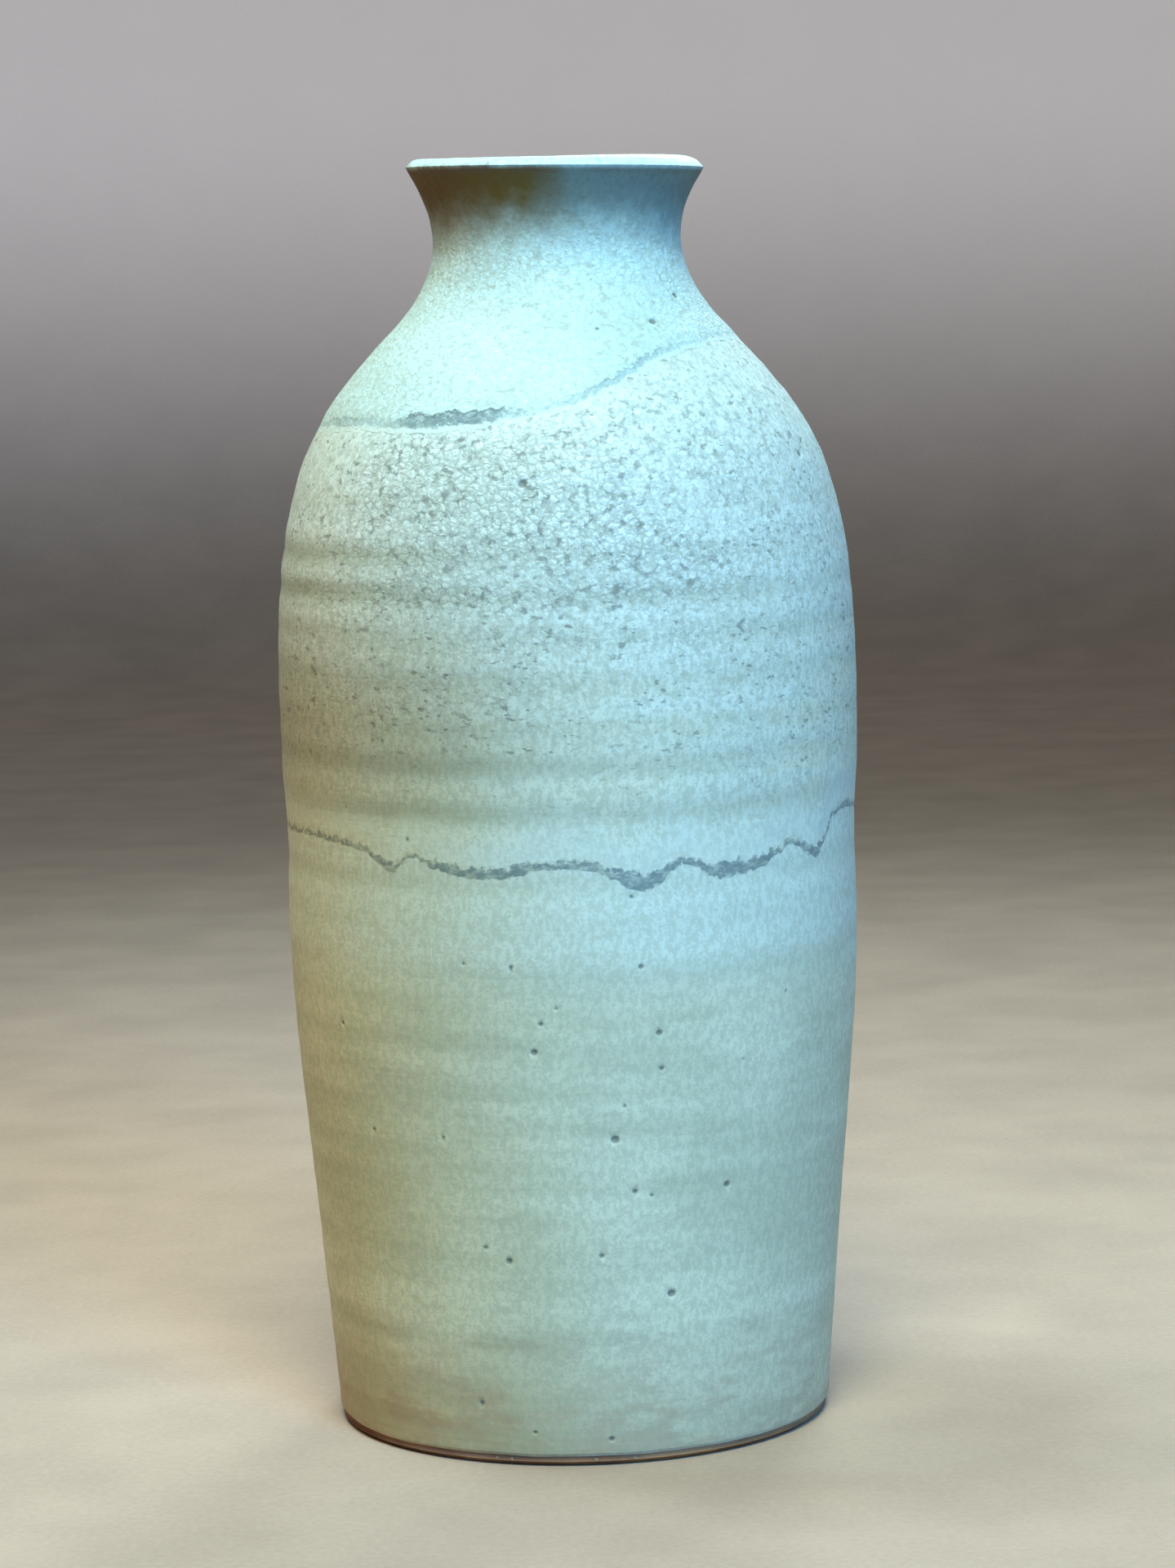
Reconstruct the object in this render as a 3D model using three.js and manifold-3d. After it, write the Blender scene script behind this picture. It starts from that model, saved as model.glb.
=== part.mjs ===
// Wheel-thrown stoneware bottle vase: one fired clay body, the liner glaze inside it and three outside glaze coats.
// Millimetres, +Z up. The origin is the centre of the foot, on the surface that the vase stands on.
// The front of the vase faces -Y. Angles round the vase are in degrees from the front, towards +X.
import * as THREE from 'three';
import { mergeVertices } from 'three/addons/utils/BufferGeometryUtils.js';
import Module from 'manifold-3d';

const wasm = await Module();
wasm.setup();

// Driving dimensions of the clay, before glazing
const SIDES = 36; // flats round the vase
const FOOT_RADIUS = 49.4;
const BELLY_RADIUS = 57.3; // the widest ring, below the shoulder
const NECK_RADIUS = 23.4;
const NECK_BORE = 18.8;
const LIP_RADIUS = 28.1;
const LIP_CREST_RADIUS = 25.0;
const LIP_INNER_RADIUS = 21.6;
const LIP_CORNER_HEIGHT = 249.7; // the sharp corner between the flare and the lip's round top
const CREST_HEIGHT = 252.8;

// Foot
const FOOT_BEVEL = 1.1;
const GLAZE_LINE_HEIGHT = 1.9; // bare clay shows below this
const FOOT_RING_WIDTH = 8.5;
const RECESS_DEPTH = 4.0;
const RECESS_SLOPE = 1.6;

// Inside
const FLOOR_HEIGHT = 12.0; // the top of the 8 mm floor
const CORNER_RADIUS = 12.0; // the round between the floor and the wall
const LOWER_WALL = 5.4;

// Glaze: thickness of each coat, and the clearance that each keeps to what is under it
const BASE_COAT = 0.45;
const SECOND_COAT = 0.3;
const NECK_COAT = 0.3;
const LINER_COAT = 0.45;
const CLEARANCE = 0.05;
const CREST_GAP = 0.3; // between the liner and the outside coats, along the crest of the lip

// Lower edge of the second coat: [degrees from the front, height]. Thick glaze ran down in lobes.
const MID_EDGE = [
  [-62, 122], [-45, 121], [-37, 117], [-32, 120.5], [-20, 117], [-2, 118.7], [13, 114.5], [24, 118.5], [31, 115.5],
  [48, 120], [57, 116.5], [68, 125], [86, 123.5], [108, 119], [124, 121.5], [142, 117], [160, 120], [178, 116.5],
  [197, 121], [214, 118], [233, 122], [252, 118.5], [272, 122.5],
];

// Lower edge of the neck coat, which sweeps up across the shoulder from left to right
const SHOULDER_EDGE = [
  [-80, 201.5], [-50, 203], [-20, 204.5], [5, 207.5], [20, 211], [32, 214], [75, 216], [125, 212], [180, 206],
  [235, 202],
];

const CLAY = { color: 0x8a6a4c, roughness: 0.9, metalness: 0 };
const LINER = { color: 0xa9c4bd, roughness: 0.4, metalness: 0 };
const BASE_GLAZE = { color: 0xa3bdb0, roughness: 0.6, metalness: 0 };
const SECOND_GLAZE = { color: 0x9fc0c2, roughness: 0.6, metalness: 0 };
const NECK_GLAZE = { color: 0xc9ecee, roughness: 0.55, metalness: 0 };

// Points along a smooth curve through the given [radius, height] pairs
function smooth(pairs, count) {
  const curve = new THREE.SplineCurve(pairs.map(([r, z]) => new THREE.Vector2(r, z)));
  return curve.getPoints(count);
}

// Points along an elliptical quarter or half turn, angles in degrees from the +radius direction
function roundOver(radius, height, halfWidth, rise, from, to, count) {
  const points = [];
  for (let i = 0; i <= count; i += 1) {
    const a = THREE.MathUtils.degToRad(from + ((to - from) * i) / count);
    points.push(new THREE.Vector2(radius + halfWidth * Math.cos(a), height + rise * Math.sin(a)));
  }
  return points;
}

// The clay's outside, from the glaze line up to the sharp corner of the lip
function outerWall() {
  return smooth([
    [FOOT_RADIUS, GLAZE_LINE_HEIGHT],
    [50.9, 20],
    [53.4, 50],
    [56.1, 80],
    [56.9, 103],
    [56.6, 124],
    [BELLY_RADIUS, 146],
    [56.5, 168],
    [54.5, 182],
    [50.2, 196],
    [43.9, 206],
    [37.2, 214],
    [29.6, 222],
    [24.8, 230],
    [NECK_RADIUS, 238],
    [25.3, 244.8],
    [LIP_RADIUS, LIP_CORNER_HEIGHT],
  ], 20);
}

// The lip's round top, from just inside the corner to its crest
function lipOutside() {
  const width = LIP_RADIUS - 0.2 - LIP_CREST_RADIUS;
  const base = LIP_CORNER_HEIGHT + 0.4;
  return roundOver(LIP_CREST_RADIUS, base, width, CREST_HEIGHT - base, 20, 90, 2);
}

// The lip's inner side, from its crest down to the bore
function lipInside() {
  const width = LIP_CREST_RADIUS - LIP_INNER_RADIUS;
  const base = LIP_CORNER_HEIGHT;
  return roundOver(LIP_CREST_RADIUS, base, width, CREST_HEIGHT - base, 110, 180, 2);
}

// The inside, from under the lip down to the top of the floor's round corner
function innerWall() {
  return smooth([
    [20.0, 245],
    [NECK_BORE, 237.5],
    [20.6, 228.4],
    [26.1, 219],
    [33.7, 210.7],
    [40.0, 203.3],
    [45.4, 194],
    [49.3, 181],
    [51.6, 166],
    [52.4, 146],
    [51.6, 124],
    [51.8, 100],
    [50.8, 78],
    [48.0, 50],
    [FOOT_RADIUS - LOWER_WALL + 1.2, FLOOR_HEIGHT + CORNER_RADIUS],
  ], 13);
}

// The round corner and the flat floor, ending on the axis
function innerFloor() {
  const corner = FOOT_RADIUS - LOWER_WALL + 1.2 - CORNER_RADIUS;
  const turn = roundOver(corner, FLOOR_HEIGHT + CORNER_RADIUS, CORNER_RADIUS, CORNER_RADIUS, -30, -90, 2);
  return [...turn, new THREE.Vector2(0, FLOOR_HEIGHT)];
}

// Underside: the shallow recess that leaves a foot ring, and the bevel outside the ring
function foot() {
  const ringInside = FOOT_RADIUS - FOOT_BEVEL - FOOT_RING_WIDTH;
  return [
    new THREE.Vector2(0, RECESS_DEPTH),
    new THREE.Vector2(ringInside - RECESS_SLOPE, RECESS_DEPTH),
    new THREE.Vector2(ringInside, 0),
    new THREE.Vector2(FOOT_RADIUS - FOOT_BEVEL, 0),
    new THREE.Vector2(FOOT_RADIUS, FOOT_BEVEL),
  ];
}

// An outline moved sideways by a distance: to the right of its direction if positive
function offset(outline, distance) {
  return outline.map((point, i) => {
    const before = outline[Math.max(i - 1, 0)];
    const after = outline[Math.min(i + 1, outline.length - 1)];
    const into = point.clone().sub(before).normalize();
    const out = after.clone().sub(point).normalize();
    const along = into.clone().add(out).normalize();
    const leaning = Math.max(along.dot(i === 0 ? out : into), 0.5);
    return new THREE.Vector2(along.y, -along.x).multiplyScalar(distance / leaning).add(point);
  });
}

// A closed solid of revolution about Z from an outline that runs anticlockwise, radius first
function revolve(outline, sides = SIDES) {
  return new THREE.LatheGeometry(outline, sides).rotateX(Math.PI / 2);
}

// A skin that lies on an outline, from one distance off it to another. An outline with the clay on its left.
function skin(outline, near, far) {
  const under = offset(outline, near);
  const over = offset(outline, far).map((point) => point.max(new THREE.Vector2(0, -Infinity)));
  return revolve([...over, ...under.reverse(), over[0].clone()]);
}

// Height of a glaze edge at an angle round the vase, eased from one of its points to the next
function edgeHeight(edge, degrees) {
  const start = edge[0][0];
  const angle = start + THREE.MathUtils.euclideanModulo(degrees - start, 360);
  const ring = [...edge, [start + 360, edge[0][1]]];
  const i = ring.findIndex(([a], n) => n > 0 && angle <= a);
  const [a0, z0] = ring[i - 1];
  const [a1, z1] = ring[i];
  return z0 + (z1 - z0) * THREE.MathUtils.smoothstep(angle, a0, a1);
}

// A tube round the vase from a glaze edge up past the lip, which cuts a skin at that edge
function above(edge) {
  const bottom = -1;
  const top = 300;
  const geometry = revolve([[70, bottom], [70, top], [10, top], [10, bottom], [70, bottom]]
    .map(([r, z]) => new THREE.Vector2(r, z)));
  const at = geometry.attributes.position;
  for (let i = 0; i < at.count; i += 1) {
    if (at.getZ(i) < 0) {
      const degrees = THREE.MathUtils.radToDeg(Math.atan2(at.getX(i), -at.getY(i)));
      at.setZ(i, edgeHeight(edge, degrees));
    }
  }
  return geometry;
}

function toManifold(geometry) {
  const bare = geometry.clone();
  bare.deleteAttribute('normal');
  bare.deleteAttribute('uv');
  const merged = mergeVertices(bare, 1e-4);
  return new wasm.Manifold(new wasm.Mesh({
    numProp: 3,
    vertProperties: merged.attributes.position.array,
    triVerts: merged.index.array,
  }));
}

function toGeometry(solid) {
  const mesh = solid.getMesh();
  const geometry = new THREE.BufferGeometry();
  geometry.setAttribute('position', new THREE.BufferAttribute(mesh.vertProperties, 3));
  geometry.setIndex(new THREE.BufferAttribute(mesh.triVerts, 1));
  geometry.computeVertexNormals();
  return geometry;
}

function clayBody() {
  return revolve([...foot(), ...outerWall(), ...lipOutside(), ...lipInside(), ...innerWall(), ...innerFloor()]);
}

// The liner runs from the crest of the lip down the inside and across the floor
function linerGlaze() {
  const outline = [...lipInside(), ...innerWall(), ...innerFloor()];
  const under = offset(outline, CLEARANCE);
  const over = offset(outline, CLEARANCE + LINER_COAT);
  under[under.length - 1].x = 0;
  over[over.length - 1].x = 0;
  return revolve([...under.reverse(), ...over]);
}

// The outline that the outside coats lie on
function glazedOutside() {
  const crest = new THREE.Vector2(LIP_CREST_RADIUS + CREST_GAP, CREST_HEIGHT);
  return [...outerWall(), ...lipOutside().slice(0, -1), crest];
}

function baseGlazeCoat() {
  return skin(glazedOutside(), CLEARANCE, CLEARANCE + BASE_COAT);
}

function secondGlazeCoat() {
  const near = CLEARANCE * 2 + BASE_COAT;
  const full = skin(glazedOutside(), near, near + SECOND_COAT);
  return toGeometry(toManifold(full).intersect(toManifold(above(MID_EDGE))));
}

function neckGlazeCoat() {
  const near = CLEARANCE * 3 + BASE_COAT + SECOND_COAT;
  const full = skin(glazedOutside(), near, near + NECK_COAT);
  return toGeometry(toManifold(full).intersect(toManifold(above(SHOULDER_EDGE))));
}

function piece(name, geometry, look) {
  const mesh = new THREE.Mesh(geometry, new THREE.MeshStandardMaterial(look));
  mesh.name = name;
  return mesh;
}

const vase = new THREE.Group();
vase.add(piece('clay_body', clayBody(), CLAY));
vase.add(piece('liner_glaze', linerGlaze(), LINER));
vase.add(piece('base_glaze_coat', baseGlazeCoat(), BASE_GLAZE));
vase.add(piece('second_glaze_coat', secondGlazeCoat(), SECOND_GLAZE));
vase.add(piece('neck_glaze_coat', neckGlazeCoat(), NECK_GLAZE));

export default vase;
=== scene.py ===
"""A wheel-thrown stoneware bottle vase: its clay, the liner glaze inside it and three glaze coats outside it.

Everything ends in metres with +Z up, and the front of the vase faces -Y. As a potter would give them, sizes
below are in millimetres, and places round the vase are in degrees from its front, towards +X.
"""
import math

import bmesh
import bpy
import numpy as np
from mathutils import Matrix, Vector, noise


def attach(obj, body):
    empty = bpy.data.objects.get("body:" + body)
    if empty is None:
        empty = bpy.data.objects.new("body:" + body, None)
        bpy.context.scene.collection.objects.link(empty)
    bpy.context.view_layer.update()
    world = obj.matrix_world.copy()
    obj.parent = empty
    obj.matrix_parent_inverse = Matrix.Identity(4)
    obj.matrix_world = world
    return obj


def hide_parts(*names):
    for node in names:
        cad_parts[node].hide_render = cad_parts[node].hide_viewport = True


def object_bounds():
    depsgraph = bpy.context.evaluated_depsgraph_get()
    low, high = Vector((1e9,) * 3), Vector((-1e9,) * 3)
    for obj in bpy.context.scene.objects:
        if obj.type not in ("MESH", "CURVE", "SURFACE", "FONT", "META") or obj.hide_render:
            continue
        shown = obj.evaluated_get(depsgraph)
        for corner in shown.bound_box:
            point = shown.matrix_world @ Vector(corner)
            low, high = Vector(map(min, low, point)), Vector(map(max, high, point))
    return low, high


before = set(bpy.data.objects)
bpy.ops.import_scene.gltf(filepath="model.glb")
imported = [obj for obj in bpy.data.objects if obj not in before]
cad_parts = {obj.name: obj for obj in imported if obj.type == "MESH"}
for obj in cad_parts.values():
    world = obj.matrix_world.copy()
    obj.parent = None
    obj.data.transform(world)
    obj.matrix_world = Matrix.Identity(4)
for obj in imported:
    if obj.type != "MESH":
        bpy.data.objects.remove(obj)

cad_low, cad_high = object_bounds()
MM = 0.001

# -------------------------------------------------------- the pot's own measures, in mm

SIDES = 480  # steps round each outside coat
CLAY_SIDES = 240
LINER_SIDES = 300
CORNER = 40.0  # an outline turns sharply where it bends by more than this many degrees
COAT = 0.35  # how far each later coat stands over the one under it
BASE_COAT = 0.5  # how far the first coat stands over the clay
BASE_END = 2.5  # how far below the crest of the lip the first coat ends
SECOND_END = 1.8
NECK_END = 4.5  # how far down inside the lip the last coat ends
TUCK = 0.6  # how far that coat sinks in there, under the liner
LINER_START = 0.6  # how far below the crest the liner starts
COAT_BACK = 0.12  # how far each coat's hidden face lies under what it covers
LINER = 0.45  # how far the liner stands over the clay
RING_DEPTH = 0.16  # the spiral that the fingers left inside
RING_RISE = 9.0  # how far that spiral climbs in one turn

# Height and depth of the grooves that the fingers left, foot to shoulder
GROOVES = [
    (6.0, 0.06), (14.5, 0.09), (24.2, 0.11), (40.0, 0.09), (47.5, 0.05), (55.0, 0.08), (62.0, 0.09),
    (68.5, 0.08), (76.0, 0.10), (84.5, 0.12), (91.0, 0.10), (97.0, 0.13), (107.0, 0.09), (115.0, 0.14),
    (128.5, 0.24), (137.5, 0.21), (144.2, 0.09), (153.5, 0.10), (162.0, 0.15), (169.7, 0.25),
    (177.0, 0.19), (186.5, 0.07), (195.0, 0.04),
]
GROOVE_WIDTH = 2.5
UNROUND = 0.20  # how far the wall strays from round
PIT_DEPTH = 0.38
PIT_MOUTH = 0.03  # how far the glaze swells round a pinhole
LIP_FROM = 240.0  # the lip and its sharp outer corner lie above this height
LIP_PRESSED = 0.8  # how far the crest of the lip was pressed down
LIP_RAISED = 1.5  # how far that raised the lip's outer corner
LIP_FADE = 226.0  # height under which the press of the finger is no longer felt
RIM_SKEW = 0.6  # how far the lip's corner stands off level
BEVEL_TOP = 1.5  # height of the top of the foot's bevel
RECESS_RADIUS = 38.2  # of the shallow recess under the foot
TRIMMING = 0.16  # depth of the rings that the trimming tool left there
SHARP = 38.0  # degrees between faces past which an edge shows

# Lower edge of the second coat, where thick glaze hung in lobes: degrees from the front, and height
MID_EDGE = [
    (-80, 121.5), (-62, 122.0), (-50, 121.2), (-44, 120.6), (-40, 118.2), (-37, 116.4), (-34.5, 118.2),
    (-33, 119.9), (-30, 119.2), (-27, 117.8), (-20, 116.2), (-15, 116.2), (-10, 116.9), (-5, 118.0),
    (0, 118.2), (5, 117.4), (8, 115.6), (11, 113.9), (14, 113.4), (17, 114.4), (20, 117.2), (22, 118.2),
    (25, 117.4), (27, 115.4), (30, 114.6), (35, 115.2), (40, 116.0), (44, 117.8), (48, 119.6),
    (51, 118.8), (54, 116.6), (57, 115.6), (60, 118.2), (62, 120.8), (64, 123.2), (70, 124.2),
    (80, 123.4), (91, 121.5), (99, 118.6), (104, 118.0), (109, 120.3), (118, 121.0), (128, 118.0),
    (135, 116.2), (141, 117.0), (146, 120.0), (157, 120.9), (166, 118.3), (172, 115.9), (179, 115.4),
    (186, 118.2), (195, 120.5), (207, 119.4), (214, 117.0), (221, 117.4), (228, 120.6), (240, 121.8),
    (249, 119.5), (256, 118.2), (264, 120.6), (272, 122.3),
]

# Lower edge of the neck coat, which was dipped with the vase held at a slant
SHOULDER_EDGE = [
    (-80, 199.8), (-65, 200.2), (-52, 200.5), (-40, 200.2), (-30, 200.3), (-20, 200.9), (-10, 202.0),
    (-3, 203.0), (2, 204.0), (8, 205.7), (14, 207.6), (20, 209.8), (26, 211.8), (32, 213.2), (45, 214.8),
    (60, 216.0), (80, 216.2), (105, 214.4), (130, 211.0), (155, 207.6), (180, 205.0), (205, 203.2),
    (230, 201.8), (255, 200.4),
]

# Pinholes that burst through the glaze: degrees from the front, height, and radius
PINHOLES = [
    (15, 131, 0.55), (11.5, 112.5, 0.45), (-33, 123.5, 0.40), (-21.5, 100, 0.40), (-12, 99.5, 0.45),
    (13, 99, 0.50), (-3.5, 91.5, 0.40), (-6.5, 88.5, 0.50), (-8, 83, 0.60), (16.5, 86, 0.60),
    (17, 79, 0.50), (9.5, 72, 0.40), (7.5, 65.5, 0.75), (11.5, 55, 0.50), (15, 54, 0.40),
    (32, 54.5, 0.60), (-20, 44, 0.45), (-15, 41.5, 0.60), (4.5, 42.5, 0.50), (19.5, 34, 0.75),
    (-23, 12.5, 0.50), (-11, 7, 0.40), (6, 5.5, 0.50), (-53, 86, 0.45), (-46, 65.5, 0.40),
    (-28, 65.5, 0.40), (35, 79, 0.35), (46, 91, 0.35), (-49, 129, 0.40), (-8, 191, 0.80),
    (34.5, 220, 0.75), (64, 194, 0.60), (54, 225, 0.60), (13, 219, 0.45),
]
BACK_PINHOLES = 46  # more of them, scattered where the list above has none


# -------------------------------------------------------- outlines, read from the CAD nodes

def turned_outline(node):
    """The outline that a CAD node was turned from, from its lowest end, as rows of radius and height."""
    shape = bmesh.new()
    shape.from_mesh(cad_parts[node].data)
    bmesh.ops.remove_doubles(shape, verts=shape.verts, dist=0.002 * MM)
    here = {v for v in shape.verts if abs(v.co.y) < 0.002 * MM and v.co.x > -0.002 * MM}
    beside = {v: [e.other_vert(v) for e in v.link_edges if e.other_vert(v) in here] for v in here}
    ends = [v for v in here if len(beside[v]) == 1]
    walk = [min(ends, key=lambda v: v.co.z)]
    while True:
        onward = [v for v in beside[walk[-1]] if v not in walk]
        if not onward:
            break
        walk.append(onward[0])
    outline = np.array([[v.co.x, v.co.z] for v in walk]) / MM
    shape.free()
    return outline


def turning(outline):
    """How sharply an outline turns at each of its inner points, in degrees."""
    steps = np.diff(outline, axis=0)
    heading = np.unwrap(np.arctan2(steps[:, 1], steps[:, 0]))
    return np.degrees(np.abs(np.diff(heading)))


def eased(outline, spacing):
    """The outline as a smooth curve with its sharp corners kept, and a point about every spacing mm."""
    corners = [0, *(np.nonzero(turning(outline) > CORNER)[0] + 1), len(outline) - 1]
    drawn = [outline[:1]]
    for first, last in zip(corners, corners[1:]):
        stretch = outline[first:last + 1]
        before = 2 * stretch[0] - stretch[1]
        after = 2 * stretch[-1] - stretch[-2]
        points = np.vstack([before, stretch, after])
        for p0, p1, p2, p3 in zip(points, points[1:], points[2:], points[3:]):
            count = max(2, int(np.linalg.norm(p2 - p1) / spacing))
            t = np.arange(1, count + 1)[:, None] / count
            bend = 2 * p0 - 5 * p1 + 4 * p2 - p3
            twist = 3 * p1 - p0 - 3 * p2 + p3
            drawn.append(0.5 * (2 * p1 + (p2 - p0) * t + bend * t ** 2 + twist * t ** 3))
    return np.vstack(drawn)


class Path:
    """An outline that gives the place at any distance along it, and the way out of the clay there.

    The way out is longer than 1 at a corner, so that what is laid over the clay keeps the corner sharp.
    """

    def __init__(self, points):
        self.points = points
        self.along = np.concatenate([[0.0], np.cumsum(np.linalg.norm(np.diff(points, axis=0), axis=1))])
        steps = np.diff(points, axis=0)
        steps /= np.linalg.norm(steps, axis=1)[:, None]
        side = np.stack([steps[:, 1], -steps[:, 0]], axis=1)
        before = np.vstack([side[:1], side])
        after = np.vstack([side, side[-1:]])
        self.out = (before + after) / (1.0 + np.sum(before * after, axis=1))[:, None]
        self.length = self.along[-1]

    def at(self, distance):
        return np.stack([np.interp(distance, self.along, self.points[:, k]) for k in range(2)], axis=-1)

    def outward(self, distance):
        return np.stack([np.interp(distance, self.along, self.out[:, k]) for k in range(2)], axis=-1)

    def distance_at_height(self, height):
        rising = np.maximum.accumulate(self.points[:, 1])
        return np.interp(height, rising, self.along)


def pressed_lip(outline):
    """The outline with its lip pressed lower and flatter, as the thrower's finger left it."""
    pressed = outline.copy()
    corner = int(np.argmax(np.where(outline[:, 1] > LIP_FROM, outline[:, 0], 0.0)))
    crest = int(np.argmax(outline[:, 1]))
    height = outline[:, 1]
    under = np.clip((height - LIP_FADE) / (height[corner] - LIP_FADE), 0.0, 1.0)
    inside = np.clip(1.0 - (height[crest] - height) / 12.0, 0.0, 1.0)
    across = np.clip((height - height[corner]) / (height[crest] - height[corner]), 0.0, 1.0)
    order = np.arange(len(outline))
    moved = LIP_RAISED * (1.0 - across) - LIP_PRESSED * across
    moved = np.where(order <= corner, LIP_RAISED * under ** 2, moved)
    pressed[:, 1] += np.where(order > crest, -LIP_PRESSED * inside, moved)
    return pressed


clay_outline = pressed_lip(turned_outline("clay_body"))
foot_points = 4 + int(np.argmax(clay_outline[4:, 1] > BEVEL_TOP))  # the first point above the foot's bevel
# The wall runs up the outside, over the lip, down the inside and across the floor
wall = Path(eased(clay_outline[foot_points:], 0.5))
CREST = wall.along[int(np.argmax(wall.points[:, 1]))]
LIP_CORNER = wall.along[int(np.argmax(np.where(wall.points[:, 1] > LIP_FROM, wall.points[:, 0], 0.0)))]
outer_wall = Path(wall.points[wall.along <= CREST])


# -------------------------------------------------------- what the hands and the kiln did to the surface

def clouds(degrees, along, size, stretch=1.0, seed=0):
    """Soft noise from -1 to 1 on the wall: lumps size mm high, and stretch times as long round the vase."""
    turn = np.radians(degrees)
    reach = 55.0 / (size * stretch)
    x = reach * np.sin(turn) + 7.3 * seed
    y = reach * np.cos(turn) - 3.1 * seed
    z = along / size + 11.7 * seed
    return np.array([noise.noise(place) for place in zip(x, y, z)])


def grooves(degrees, height):
    """The throwing grooves, from 0 on the wall to about -1 in the deepest."""
    sway = 0.6 * clouds(degrees, height, 60.0, seed=3)
    strength = 0.75 + 0.8 * clouds(degrees, height, 18.0, stretch=3.0, seed=4)
    strength *= 0.85 - 0.30 * np.sin(np.radians(degrees))
    depth = np.zeros_like(height)
    for at, deep in GROOVES:
        depth += deep * np.exp(-((height + sway - at) / GROOVE_WIDTH) ** 2)
    return -depth * strength / max(deep for _, deep in GROOVES)


def thrown(degrees, along):
    """How far the clay stands off its turned outline, in mm, where it was thrown by hand."""
    outline = wall.at(along)
    height = outline[:, 1]
    unround = UNROUND * clouds(degrees, height, 80.0, seed=1) + 0.10 * clouds(degrees, height, 26.0, seed=2)
    fingers = 0.035 * clouds(degrees, height, 2.6, stretch=12.0, seed=5)
    deepest = max(deep for _, deep in GROOVES)
    outer = np.clip((CREST - along) / 12.0, 0.0, 1.0)
    off_axis = np.clip(outline[:, 0] / 20.0, 0.0, 1.0)
    return (unround + fingers) * off_axis + outer * deepest * grooves(degrees, height)


def rim_rise(degrees, along):
    """How far the outer corner of the lip rises and falls round the vase, in mm."""
    below = np.clip(1.0 - (LIP_CORNER - along) / 16.0, 0.0, 1.0) ** 2
    above = np.clip((CREST - along) / (CREST - LIP_CORNER), 0.0, 1.0)
    return -RIM_SKEW * np.sin(np.radians(degrees)) * np.where(along < LIP_CORNER, below, above)


def edge_distance(edge):
    """A function that gives how far along the wall a glaze edge lies, at any angle round the vase."""
    start = edge[0][0]
    angles = np.array([a for a, _ in edge] + [start + 360.0])
    heights = np.array([z for _, z in edge] + [edge[0][1]])

    def at(degrees):
        turned = start + np.mod(np.asarray(degrees) - start, 360.0)
        i = np.clip(np.searchsorted(angles, turned, side="right") - 1, 0, len(angles) - 2)
        t = (turned - angles[i]) / (angles[i + 1] - angles[i])
        height = heights[i] + (heights[i + 1] - heights[i]) * t * t * (3 - 2 * t)
        return outer_wall.distance_at_height(height)

    return at


def ragged(edge, amount, seed):
    """A glaze edge with the small teeth and runs that its own smooth line leaves out, amount in mm."""

    def at(degrees):
        degrees = np.asarray(degrees, dtype=float)
        level = np.zeros_like(degrees)
        small = clouds(degrees, level, 2.2, seed=seed) + 0.6 * clouds(degrees, level, 0.9, seed=seed + 1)
        return edge(degrees) + amount * small

    return at


def scattered_pinholes():
    """The listed pinholes, and more of them round the back, drawn from one fixed seed."""
    draw = np.random.default_rng(20)
    holes = [(a, outer_wall.distance_at_height(z), r) for a, z, r in PINHOLES]
    for _ in range(BACK_PINHOLES):
        angle = draw.uniform(75, 285)
        height = draw.choice([draw.uniform(8, 112), draw.uniform(126, 225)], p=[0.7, 0.3])
        holes.append((angle, outer_wall.distance_at_height(height), draw.uniform(0.32, 0.62)))
    return holes


pinholes = scattered_pinholes()


def pitted(degrees, along, radius):
    """How deep in a pinhole each place is, from 0 outside to 1 at its bottom, and the swelling round it."""
    pit = np.zeros_like(along)
    mouth = np.zeros_like(along)
    for angle, distance, size in pinholes:
        round_way = (np.mod(degrees - angle + 180.0, 360.0) - 180.0) * math.pi / 180.0 * radius
        q = np.hypot(round_way * 0.85, along - distance) / size
        pit = np.maximum(pit, np.exp(-q ** 3) * min(1.0, size / 0.6))
        mouth = np.maximum(mouth, np.exp(-((q - 1.5) / 0.5) ** 2))
    return pit, mouth


# -------------------------------------------------------- turning a piece

def drawn_outline(points):
    """An outline in the XZ plane, extruded corner by corner from one point."""
    bpy.ops.object.select_all(action="DESELECT")
    start = (points[0][0] * MM, 0.0, points[0][1] * MM)
    bpy.ops.mesh.primitive_plane_add(size=MM, location=start)
    bpy.ops.object.mode_set(mode="EDIT")
    bpy.ops.mesh.select_all(action="SELECT")
    bpy.ops.mesh.merge(type="CENTER")
    for step in np.diff(points, axis=0) * MM:
        bpy.ops.mesh.extrude_vertices_move(TRANSFORM_OT_translate={"value": (step[0], 0.0, step[1])})
    bpy.ops.object.mode_set(mode="OBJECT")
    bpy.ops.object.transform_apply(location=True, rotation=True, scale=True)
    return bpy.context.object


def set_values(piece, name, values):
    """A number for every vertex, which the materials read."""
    attributes = piece.data.attributes
    held = attributes.get(name) or attributes.new(name, "FLOAT", "POINT")
    held.data.foreach_set("value", np.asarray(values, dtype=np.float32))


def get_values(piece, name):
    values = np.empty(len(piece.data.vertices), np.float32)
    piece.data.attributes[name].data.foreach_get("value", values)
    return values.astype(float)


def places(piece):
    flat = np.empty(len(piece.data.vertices) * 3, np.float32)
    piece.data.vertices.foreach_get("co", flat)
    return flat.reshape(-1, 3).astype(float)


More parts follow.
